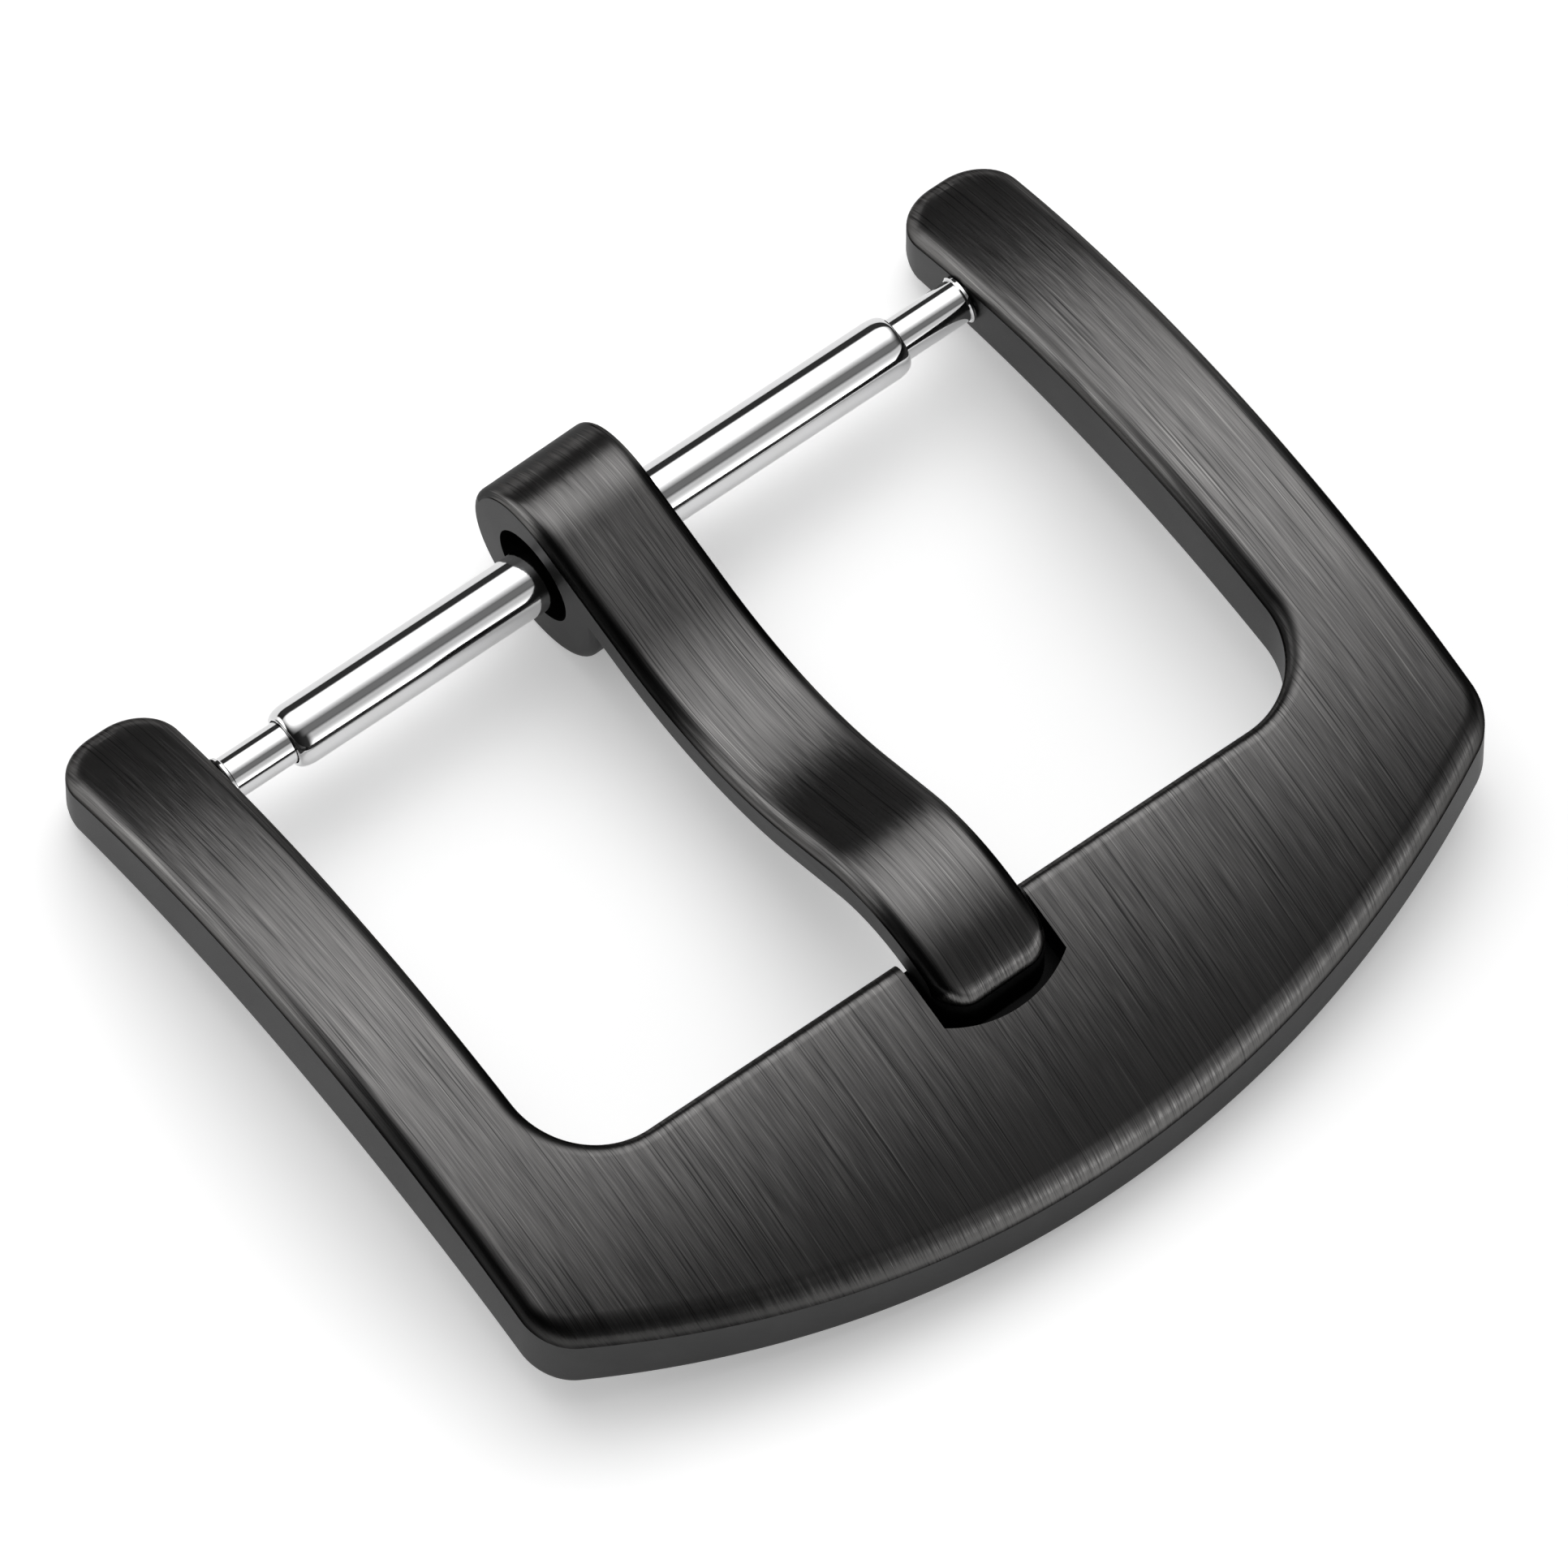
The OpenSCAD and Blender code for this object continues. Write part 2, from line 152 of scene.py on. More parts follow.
# Mesh fineness
FRONT_STEPS = 40
FAN_SHARE = 0.72      # share of the front edge that has straight rows
FAN_FRONT = 12
FAN_TURN = 18
FAN_SIDE = 12
ARM_STEPS = 26
END_STEPS = 16
FACE_STEPS = 10
TOP_STEPS = 9
LOW_STEPS = 6
NOTCH_STEPS = 24
FLOOR_SPIN = 900
BORE_SPIN = 72
SPIN = 144
ARC_STEPS = 60
BLADE_STEPS = 90
NOSE_STEPS = 14
LIP_STEPS = 5
SIDE_STEPS = 16
MID_STEPS = 6
ROLL_STEPS = 14
TURN_STEPS = 24
WIRE_SIDES = 12
SLOPE_STEP = 0.05     # half the length over which a slope is measured
JOIN_FROM = 0.2       # a u under the blade that is inside the eye
JOIN_HALVINGS = 50
WELD = 1e-8           # metres
CREASE = radians(28)
TURNED_CREASE = radians(24)
WIRE_CREASE = radians(50)

# Derived places
WINDOW_Y = -HALF_L + FRONT_W
FRONT_CY = -HALF_L + FRONT_R
UNDER_RISE = ENDS_Z + UNDER_R - sqrt(UNDER_R**2 - (HALF_L - EDGE_LOW_R)**2)
CROWN_Z = UNDER_RISE + CROWN_T
TOP_CZ = CROWN_Z - TOP_R
UNDER_CZ = UNDER_RISE - UNDER_R
WINDOW_CX = IN_X + SPLAY - WINDOW_R
WINDOW_CY = WINDOW_Y + WINDOW_R
CORNER_CX = OUT_X + FLARE - CORNER_R
CORNER_CY = FRONT_CY - sqrt((FRONT_R - CORNER_R)**2 - CORNER_CX**2)
CORNER_A = atan2(FRONT_CY - CORNER_CY, CORNER_CX)
CORNER_X = FRONT_R * cos(CORNER_A)
FAN_X = FAN_SHARE * CORNER_X
END_CY = HALF_L - END_R
FLOOR_R = TOP_R - NOTCH_DEPTH
FALL_U = EYE_R * sin(FALL_A) - EYE_BACK
FALL_Z = EYE_R * cos(FALL_A)
VALLEY_U = FALL_U + FALL_L * cos(FALL_A) + VALLEY_R * sin(FALL_A)
VALLEY_CZ = FALL_Z - FALL_L * sin(FALL_A) + VALLEY_R * cos(FALL_A)
RISE_U = VALLEY_U + VALLEY_R * sin(RISE_A)
RISE_Z = VALLEY_CZ - VALLEY_R * cos(RISE_A)
CREST_U = RISE_U + RISE_L * cos(RISE_A) + CREST_R * sin(RISE_A)
CREST_CZ = RISE_Z + RISE_L * sin(RISE_A) - CREST_R * cos(RISE_A)
TIP_U = BAR_Y - WINDOW_Y + NOTCH_REACH - TIP_GAP

# Finishes, in the order of a piece's materials. The last two are satin painted darker
# as shade
BRUSHED, SATIN, SHADED_RECESS, SHADED_TIP = range(4)

# A place along the frame: a plan point on each wall, and its outward normal
Station = namedtuple("Station", "inner inner_n outer outer_n")
# A point of the tongue's side outline: its finish, the slope of the face there
# and the radius of the rounding beside it
Point = namedtuple("Point", "u z kind tilt rounding")


# Numbers
def mix(a, b, t):
    return a + (b - a) * t


def clamp(t):
    return min(1, max(0, t))


def ease(t):
    """A smooth step from 0 to 1."""
    t = clamp(t)
    return t * t * (3 - 2 * t)


def quarter(steps):
    """Angles from 0 to 90 degrees, both included."""
    return [pi / 2 * i / steps for i in range(steps + 1)]


def circle(steps):
    return [2 * pi * i / steps for i in range(steps)]


def inset(r, d):
    """How far a rounding of radius r has drawn in, d from the wall it meets."""
    return r - sqrt(r * r - (r - d)**2) if d < r else 0.0


# Meshes
def new_piece(name, verts, faces, materials, face_mats=None, uvs=None):
    """An object from points in millimetres, with optional brush coordinates.

    Each is (across, along, edge, painted shade). Edge goes from 0 on a face to 1 where
    its rounding meets the wall, and the painted shade is how much darker it is painted
    there.
    """
    mesh = bpy.data.meshes.new(name)
    mesh.from_pydata([tuple(c * MM for c in v) for v in verts], [], faces)
    for material in materials:
        mesh.materials.append(material)
    if face_mats is not None:
        mesh.polygons.foreach_set("material_index", face_mats)
    if uvs is not None:
        order = [0] * len(mesh.loops)
        mesh.loops.foreach_get("vertex_index", order)
        for title, k in (("brush", 0), ("edge", 2)):
            layer = mesh.uv_layers.new(name=title)
            layer.data.foreach_set("uv", [c for i in order for c in uvs[i][k:k + 2]])
    piece = bpy.data.objects.new(name, mesh)
    bpy.context.scene.collection.objects.link(piece)
    return piece


def tube_faces(rows, m):
    """Quads round a tube of rows of m points each."""
    return [(i * m + j, i * m + (j + 1) % m, (i + 1) * m + (j + 1) % m, (i + 1) * m + j)
            for i in range(rows - 1) for j in range(m)]


def end_faces(rows, m):
    """The two faces that close such a tube."""
    return [tuple(range(m))[::-1], tuple(range((rows - 1) * m, rows * m))]


def outward(piece):
    """Welds a piece's double points and turns its faces outwards."""
    work = bmesh.new()
    work.from_mesh(piece.data)
    bmesh.ops.remove_doubles(work, verts=work.verts, dist=WELD)
    bmesh.ops.recalc_face_normals(work, faces=work.faces)
    work.to_mesh(piece.data)
    work.free()


def smooth(piece, crease=CREASE):
    """Smooth shading that breaks at sharp corners and at finish borders."""
    work = bmesh.new()
    work.from_mesh(piece.data)
    for face in work.faces:
        face.smooth = True
    for edge in work.edges:
        if len(edge.link_faces) == 2:
            a, b = edge.link_faces
            edge.smooth = (edge.calc_face_angle(0.0) < crease
                           and a.material_index == b.material_index)
    work.to_mesh(piece.data)
    work.free()


def carve(piece, cutter):
    """Takes the cutter out of the piece and drops the cutter."""
    outward(cutter)
    cut = piece.modifiers.new("carve", "BOOLEAN")
    cut.operation = "DIFFERENCE"
    cut.solver = "EXACT"
    cut.object = cutter
    depsgraph = bpy.context.evaluated_depsgraph_get()
    result = bpy.data.meshes.new_from_object(piece.evaluated_get(depsgraph))
    piece.modifiers.clear()
    old = piece.data
    piece.data = result
    bpy.data.meshes.remove(old)
    bpy.data.objects.remove(cutter, do_unlink=True)


def cutter_between(name, near, far, materials):
    """A closed cutter between two equal rows of points."""
    faces = tube_faces(2, len(near)) + end_faces(2, len(near))
    return new_piece(name, near + far, faces, materials, [SHADED_RECESS] * len(faces))


def prism(name, outline, z0, z1, materials):
    """A cutter over a plan outline."""
    near, far = ([(x, y, z) for x, y in outline] for z in (z0, z1))
    return cutter_between(name, near, far, materials)


def x_rod(name, r, x0, x1, y, z, materials, spin=SPIN):
    """A round cutter along X."""
    ring = [(r * cos(a), r * sin(a)) for a in circle(spin)]
    near, far = ([(x, y + a, z + b) for a, b in ring] for x in (x0, x1))
    return cutter_between(name, near, far, materials)


def lathe(name, profile, x_shift, materials, side=1, closed=False):
    """A turned piece round the bar axis from (radius, x) points."""
    m = len(profile)
    verts = [(x_shift + side * x, BAR_Y + r * cos(a), BAR_Z + r * sin(a))
             for a in circle(SPIN) for r, x in profile]
    faces = []
    for k in range(SPIN):
        near, far = k * m, (k + 1) % SPIN * m
        for j in range(m if closed else m - 1):
            n = (j + 1) % m
            faces.append((near + j, near + n, far + n, far + j))
    piece = new_piece(name, verts, faces, materials)
    outward(piece)
    smooth(piece, TURNED_CREASE)
    return piece


# Frame
def top_z(y):
    return TOP_CZ + sqrt(TOP_R**2 - y * y)


def under_z(y):
    return UNDER_CZ + sqrt(UNDER_R**2 - y * y)


def widening(y, y0):
    """From 0 at the arm ends to 1 at y0."""
    return sin(pi / 2 * clamp((END_CY - y) / (END_CY - y0)))


def arm_in(y):
    return IN_X + SPLAY * widening(y, WINDOW_CY)


def arm_out(y):
    return OUT_X + FLARE * widening(y, CORNER_CY)


def low_r(y):
    """Rounding of the lower edge, which grows across the arm ends."""
    return mix(EDGE_LOW_R, END_LOW_R, sin(pi / 2 * max(0, (y - END_CY) / END_R)))


def on_arc(cx, cy, r, a, side=1):
    """Plan point on an arc, and its normal away from the centre or towards it."""
    return (cx + r * cos(a), cy + r * sin(a)), (side * cos(a), side * sin(a))


def on_front(x):
    return on_arc(0, FRONT_CY, FRONT_R, -acos(x / FRONT_R))


def fan_outer(i):
    """Outer point and normal at step i of the fan round the corner."""
    if i < FAN_FRONT:
        return on_front(mix(FAN_X, CORNER_X, i / FAN_FRONT))
    i -= FAN_FRONT
    if i < FAN_TURN:
        return on_arc(CORNER_CX, CORNER_CY, CORNER_R, -CORNER_A * (1 - i / FAN_TURN))
    y = mix(CORNER_CY, WINDOW_CY, (i - FAN_TURN) / FAN_SIDE)
    return (arm_out(y), y), (1, 0)


def half_stations():
    """Stations from the middle of the front bar to the right arm's end."""
    rows = []
    for i in range(FRONT_STEPS):
        t = i / FRONT_STEPS
        rows.append(((WINDOW_CX * t, WINDOW_Y), (0, 1)) + on_front(FAN_X * t))
    fan = FAN_FRONT + FAN_TURN + FAN_SIDE
    for i in range(fan):
        a = -pi / 2 + pi / 2 * i / fan
        rows.append(on_arc(WINDOW_CX, WINDOW_CY, WINDOW_R, a, -1) + fan_outer(i))
    for i in range(ARM_STEPS):
        y = mix(WINDOW_CY, END_CY, i / ARM_STEPS)
        rows.append(((arm_in(y), y), (-1, 0), (arm_out(y), y), (1, 0)))
    for a in quarter(END_STEPS):
        dx, y = END_R * (1 - cos(a)), END_CY + END_R * sin(a)
        rows.append(((IN_X + dx, y), (-cos(a), sin(a)),
                     (OUT_X - dx, y), (cos(a), sin(a))))
    return [Station(*row) for row in rows]


def mirrored(station):
    return Station(*[(-x, y) for x, y in station])


def slope_shade(tilt):
    """Painted shade of a side rounding where the face above it slopes by tilt."""
    return ease((SHADE_FROM - tilt) / SHADE_OVER)


def edge_shade(n, y, x):
    """Painted shade of a top rounding: of the sides by slope, and of the front edge."""
    front = clamp((FRONT_SHADE_X - x) / FRONT_SHADE_W) if n[1] < FRONT_NORMAL else 0
    return max(abs(n[0]) * slope_shade(asin(y / TOP_R)), front * FRONT_SHADE)


def inward(p, n, r, share=1):
    """Plan point p moved against its normal n by a share of r."""
    return [p[i] - n[i] * r * share for i in (0, 1)]


def edge_reach(n):
    """How far the top rounding reaches inwards: further along the front bar."""
    return EDGE_TOP_R + FRONT_SOFT * max(0, -n[1])**3


def edge_top(p, n, a):
    """Point and brush coordinates on the top rounding, a from face to wall."""
    x, y = inward(p, n, edge_reach(n), 1 - sin(a))
    across, along = inward(p, n, edge_reach(n), 1 - a)
    z = top_z(y) - EDGE_TOP_R * (1 - cos(a))
    return (x, y, z), (across, along, a / (pi / 2), edge_shade(n, y, p[0]))


def edge_low(p, n, a):
    """The same on the lower rounding, which isn't brushed."""
    r = low_r(p[1])
    x, y = inward(p, n, r, 1 - sin(a))
    return (x, y, under_z(y) + r * (1 - cos(a))), (x, y, 0, 0)


def face_point(s, t, insets, height, bulge):
    """The same at share t across a face, domed unless the face is narrow."""
    a = inward(s.inner, s.inner_n, insets[0])
    b = inward(s.outer, s.outer_n, insets[1])
    x, y = (mix(a[i], b[i], t) for i in (0, 1))
    fade = min(1, dist(a, b) / DOME_FULL_W)**2
    return (x, y, height(y) + fade * bulge * 4 * t * (1 - t)), (x, y, 0, 0)


def frame_ring(s):
    """One closed section: top face outwards, outer wall, underside, inner wall."""
    across = [i / FACE_STEPS for i in range(FACE_STEPS + 1)]
    top, low = quarter(TOP_STEPS)[1:], quarter(LOW_STEPS)[1:]
    above = edge_reach(s.inner_n), edge_reach(s.outer_n)
    below = low_r(s.inner[1]), low_r(s.outer[1])
    return ([face_point(s, t, above, top_z, FACE_DOME) for t in across]
            + [edge_top(s.outer, s.outer_n, a) for a in top]
            + [edge_low(s.outer, s.outer_n, a) for a in low[::-1]]
            + [face_point(s, t, below, under_z, FACE_HOLLOW) for t in across[::-1]]
            + [edge_low(s.inner, s.inner_n, a) for a in low]
            + [edge_top(s.inner, s.inner_n, a) for a in top[::-1]])


def arm_cap(base, m):
    """Faces and their finishes that close the ring of m points at an arm's end."""
    face_end, low = base + FACE_STEPS, base + m // 2
    faces = [(*range(base, face_end + 2), base + m - 1)]
    kinds = [BRUSHED]
    for j in range(1, TOP_STEPS + LOW_STEPS):
        faces.append((face_end + j, face_end + 1 + j, base + m - 1 - j, base + m - j))
        kinds.append(BRUSHED if j < TOP_STEPS else SATIN)
    faces.append((*range(low, low + FACE_STEPS + 2), low - 1))
    return faces, kinds + [SATIN]


def frame_piece(materials):
    """One loft from arm end to arm end, with the notch and the bores cut out."""
    half = half_stations()
    rings = [frame_ring(s) for s in [mirrored(s) for s in half[:0:-1]] + half]
    points = [q for ring in rings for q in ring]
    m = len(rings[0])
    face_and_edge = FACE_STEPS + TOP_STEPS
    finish = ([BRUSHED] * face_and_edge + [SATIN] * (m - face_and_edge - TOP_STEPS)
              + [BRUSHED] * TOP_STEPS)
    faces, kinds = tube_faces(len(rings), m), finish * (len(rings) - 1)
    for base in (0, len(points) - m):
        cap_faces, cap_kinds = arm_cap(base, m)
        faces += cap_faces
        kinds += cap_kinds
    piece = new_piece("frame_dressed", [q[0] for q in points], faces, materials, kinds,
                      [q[1] for q in points])
    outward(piece)
    carve(piece, notch_cutter(materials))
    for side in (-1, 1):
        carve(piece, bore_cutter(side, materials))
    smooth(piece)
    return piece


def notch_cutter(materials):
    """A bowed plan, down to a floor that follows the arch of the top face."""
    half_w = NOTCH_W / 2
    bow_r = (half_w**2 + NOTCH_BOW**2) / (2 * NOTCH_BOW)
    half_a = asin(half_w / bow_r)
    front, back = WINDOW_Y - NOTCH_REACH, WINDOW_Y + NOTCH_OPEN
    outline = [(NOTCH_X - half_w, back)]
    for i in range(NOTCH_STEPS + 1):
        a = mix(-half_a, half_a, i / NOTCH_STEPS)
        outline.append((NOTCH_X + bow_r * sin(a), front + bow_r * (1 - cos(a))))
    outline.append((NOTCH_X + half_w, back))
    cutter = prism("notch_cutter", outline, NOTCH_LOW_Z, 2 * CROWN_Z, materials)
    core = x_rod("notch_floor", FLOOR_R, NOTCH_X - NOTCH_W, NOTCH_X + NOTCH_W,
                 0, TOP_CZ, materials, FLOOR_SPIN)
    outward(cutter)
    carve(cutter, core)
    return cutter


def bore_cutter(side, materials):
    x0, x1 = side * (BAR_WALL - BORE_OPEN), side * (BAR_WALL + PIVOT_IN + BORE_FLOOR)
    return x_rod("bore_cutter", PIVOT_R + RUN_GAP, x0, x1, BAR_Y, BAR_Z, materials,
                 BORE_SPIN)


# Tongue
def profile_z(u, d):
    """Height of the blade's side profile at u, d below its top surface."""
    if u < VALLEY_U - (VALLEY_R + d) * sin(FALL_A):
        return FALL_Z - (u - FALL_U) * tan(FALL_A) - d / cos(FALL_A)
    if u < VALLEY_U + (VALLEY_R + d) * sin(RISE_A):
        return VALLEY_CZ - sqrt((VALLEY_R + d)**2 - (u - VALLEY_U)**2)
    if u < CREST_U - (CREST_R - d) * sin(RISE_A):
        return RISE_Z + (u - RISE_U) * tan(RISE_A) - d / cos(RISE_A)
    return CREST_CZ + sqrt(max(0, (CREST_R - d)**2 - (u - CREST_U)**2))


def blade_low_z(u):
    """The blade's underside, which stays off the notch's floor."""
    z = profile_z(u, TONGUE_T)
    if u < CREST_U:
        return z
    return max(z, TOP_CZ + sqrt(FLOOR_R**2 - (BAR_Y - u)**2) + REST_GAP - BAR_Z)


def rounded_low_z(u, d, end):
    """The same with its roundings, d from the side wall and before the tip."""
    return blade_low_z(u) + inset(BLADE_LOW_R, d) + inset(BLADE_LOW_R, end - u)


def rim_r(t):
    """Side rounding of the eye at angle t, growing towards the blade."""
    return mix(EYE_RIM_R, BLADE_TOP_R, ease((t - BRUSH_START) / (FALL_A - BRUSH_START)))


def eye_join(d, end):
    """The u at which the underside meets the eye, found by halving."""
    r = EYE_R - inset(EYE_RIM_R, d)
    inside, outside = JOIN_FROM, VALLEY_U
    for _ in range(JOIN_HALVINGS):
        u = (inside + outside) / 2
        if (u + EYE_BACK)**2 + rounded_low_z(u, d, end)**2 < r * r:
            inside = u
        else:
            outside = u
    return inside


def eye_outline(d, start):
    """Round the eye from its join with the underside, over its back, to the fall."""
    points = []
    for i in range(ARC_STEPS):
        t = mix(start - 2 * pi, FALL_A, i / ARC_STEPS)
        r = EYE_R - inset(rim_r(t), d)
        kind = BRUSHED if t > BRUSH_END else SATIN
        points.append(Point(r * sin(t) - EYE_BACK, r * cos(t), kind,
                            EYE_SHADE_SHIFT - t, rim_r(t)))
    return points


def top_outline(d, end):
    """Along the top of the blade and down over the tip."""
    drop = inset(BLADE_TOP_R, d)
    fall, nose = (EYE_R - drop) * sin(FALL_A) - EYE_BACK, end - NOSE_R
    us = [mix(fall, nose, i / BLADE_STEPS) for i in range(BLADE_STEPS)]
    us += [nose + NOSE_R * sin(a) for a in quarter(NOSE_STEPS)]
    points = []
    for u in us:
        rise = profile_z(u + SLOPE_STEP, 0) - profile_z(u - SLOPE_STEP, 0)
        points.append(Point(u, profile_z(u, drop) - inset(NOSE_R, end - u), BRUSHED,
                            atan(rise / (2 * SLOPE_STEP)), BLADE_TOP_R))
    # the tip's end face gets satin with painted shade
    points[-1] = points[-1]._replace(kind=SHADED_TIP)
    return points


def low_outline(d, end, join):
    """Round the tip's lower edge and back along the underside to the eye."""
    us = [end - BLADE_LOW_R * (1 - cos(a)) for a in quarter(LIP_STEPS)]
    lip = us[-1]
    us += [mix(lip, join, i / BLADE_STEPS) for i in range(1, BLADE_STEPS)]
    return [Point(u, rounded_low_z(u, d, end), SHADED_TIP if i < LIP_STEPS else SATIN,
                  0, BLADE_LOW_R) for i, u in enumerate(us)]


def tongue_outline(d):
    """Closed side outline at distance d from the side wall."""
    end = TIP_U - inset(TIP_CORNER_R, d)
    join = eye_join(d, end)
    start = atan2(join + EYE_BACK, rounded_low_z(join, d, end))
    return eye_outline(d, start) + top_outline(d, end) + low_outline(d, end, join)


def tongue_rows():
    """Rows across the tongue as (x, distance from the nearer side wall)."""
    half = TONGUE_W / 2
    ds = [TIP_CORNER_R * (1 - cos(a)) for a in quarter(SIDE_STEPS)[:-1]]
    ds += [mix(TIP_CORNER_R, half, i / MID_STEPS) for i in range(MID_STEPS)]
    return ([(-(half - d), d) for d in ds] + [(0, half)]
            + [(half - d, d) for d in ds[::-1]])


def lengths_along(outline):
    """Length along an outline to each point, 0 where the streaks start."""
    sums = [0.0]
    for p, q in zip(outline, outline[1:]):
        sums.append(sums[-1] + sqrt((q.u - p.u)**2 + (q.z - p.z)**2))

    def from_start(j):
        return abs(EYE_SHADE_SHIFT - outline[j].tilt - BRUSH_START)

    zero = sums[min(range(ARC_STEPS), key=from_start)]
    return [s - zero for s in sums]


def tongue_brush(x, d, end, p, along):
    """Brush coordinates of outline point p, unrolled over the roundings."""
    turn = asin((p.rounding - d) / p.rounding) if d < p.rounding else 0
    side = 1 if x > 0 else -1
    across = side * (TONGUE_W / 2 + p.rounding * (turn - 1)) if turn else x
    nose = 1 - (end - p.u) / NOSE_R
    nose = asin(nose) if nose > 0 else 0
    # painted shade on side roundings where the face above slopes to the front
    painted_shade = slope_shade(p.tilt) if turn > nose else 0
    return across, along, max(turn, nose) / (pi / 2), painted_shade


def leaned(x, y, z, unit=1):
    """A point of the tongue, leaned and put on the bar."""
    lean_x, lean_y = cos(TONGUE_LEAN), sin(TONGUE_LEAN)
    return (TONGUE_X * unit + x * lean_x - y * lean_y,
            BAR_Y * unit + x * lean_y + y * lean_x, BAR_Z * unit + z)


def eye_cutter(materials):
    eye = x_rod("eye_cutter", EYE_HOLE_R, -2 * TONGUE_W, 2 * TONGUE_W, EYE_BACK, 0,
                materials)
    for v in eye.data.vertices:
        v.co = leaned(*v.co, MM)
    return eye


def tongue_piece(materials):
    """A loft of side outlines across the tongue, with the eye's hole cut out."""
    rows = tongue_rows()
    outlines = [tongue_outline(d) for _, d in rows]
    middle = outlines[len(rows) // 2]
    lengths = lengths_along(middle)
    verts, uvs = [], []
    for (x, d), outline in zip(rows, outlines):
        end = max(p.u for p in outline)
        for p, along in zip(outline, lengths):
            verts.append(leaned(x, -p.u, p.z))
            uvs.append(tongue_brush(x, d, end, p, along))
    m = len(middle)
    sides = [tuple(range(m)), tuple(range(len(verts) - m, len(verts)))[::-1]]
    kinds = [p.kind for p in middle] * (len(rows) - 1) + [SATIN, SATIN]
    piece = new_piece("tongue_dressed", verts, tube_faces(len(rows), m) + sides,
                      materials, kinds, uvs)
    outward(piece)
    carve(piece, eye_cutter(materials))
    smooth(piece)
    return piece


# Spring bar
BAR_WALL = arm_in(BAR_Y)
TUBE_HALF = BAR_WALL - SHAFT_SHOW
BORE_R = TUBE_R - TUBE_WALL
ROLL_X = TUBE_HALF - ROLL_L
HEAD_X = ROLL_X - HEAD_BACK
COIL_R = BORE_R - RUN_GAP - WIRE_R
COIL_HALF = HEAD_X - HEAD_L - WIRE_R - SEAT_GAP


def rolled(r0, r1, x0, x1):
    """A quarter round of (radius, x) points."""
    return [(mix(r1, r0, cos(a)), mix(x0, x1, sin(a))) for a in quarter(ROLL_STEPS)]


def tube_piece(materials):
    """The thin tube with both ends rolled in round the shafts."""
    hole = SHAFT_R + RUN_GAP
    outer = rolled(TUBE_R, hole + ROLL_LIP, ROLL_X, TUBE_HALF)
    inner = rolled(BORE_R, hole, ROLL_X, TUBE_HALF - TUBE_WALL)

    def left(points):
        return [(r, -x) for r, x in points]

    profile = (left(outer[::-1]) + outer + [(hole, TUBE_HALF)]
               + inner[::-1] + left(inner) + [(hole, -TUBE_HALF)])
    return lathe("tube_dressed", profile, TUBE_X, materials, closed=True)


def plunger_piece(name, side, materials):
    """Guide pin, head, shaft, collar and pivot, turned in one."""
    head_back = HEAD_X - HEAD_L
    guide_end = head_back - GUIDE_L
    collar_x = BAR_WALL - RUN_GAP
    collar_back = collar_x - COLLAR_L
    pivot_end = BAR_WALL + PIVOT_IN
    profile = [
        (0, guide_end),
        (GUIDE_R - TIP_CHAMFER, guide_end),
        (GUIDE_R, guide_end + TIP_CHAMFER),
        (GUIDE_R, head_back),
        (BORE_R - RUN_GAP, head_back),
        (BORE_R - RUN_GAP, HEAD_X),
        (SHAFT_R, HEAD_X),
        (SHAFT_R, collar_back),
        (COLLAR_R - COLLAR_SOFT, collar_back),
        (COLLAR_R, collar_back + COLLAR_SOFT),
        (COLLAR_R, collar_x - COLLAR_SOFT),
        (COLLAR_R - COLLAR_SOFT, collar_x),
        (PIVOT_R, collar_x),
        (PIVOT_R, pivot_end - TIP_CHAMFER),
        (PIVOT_R - TIP_CHAMFER, pivot_end),
        (0, pivot_end)]
    return lathe(name, profile, 0, materials, side)


def spring_half(name, side, materials):
    """Half of the coil spring, from the middle of the bar to its closed end."""
    pitch = (COIL_HALF - CLOSED_TURNS * CLOSED_PITCH) / (HALF_TURNS - CLOSED_TURNS)
    rows = TURN_STEPS * HALF_TURNS + 1
    verts = []
    for i in range(rows):
        turns = i / TURN_STEPS
        x = min(turns * pitch, COIL_HALF - (HALF_TURNS - turns) * CLOSED_PITCH)
        a = 2 * pi * turns
        for b in circle(WIRE_SIDES):
            r = COIL_R + WIRE_R * cos(b)
            verts.append((side * (x + WIRE_R * sin(b)),
                          BAR_Y + r * cos(a), BAR_Z + side * r * sin(a)))
    faces = tube_faces(rows, WIRE_SIDES) + end_faces(rows, WIRE_SIDES)
    piece = new_piece(name, verts, faces, materials)
    outward(piece)
    smooth(piece, WIRE_CREASE)
    return piece


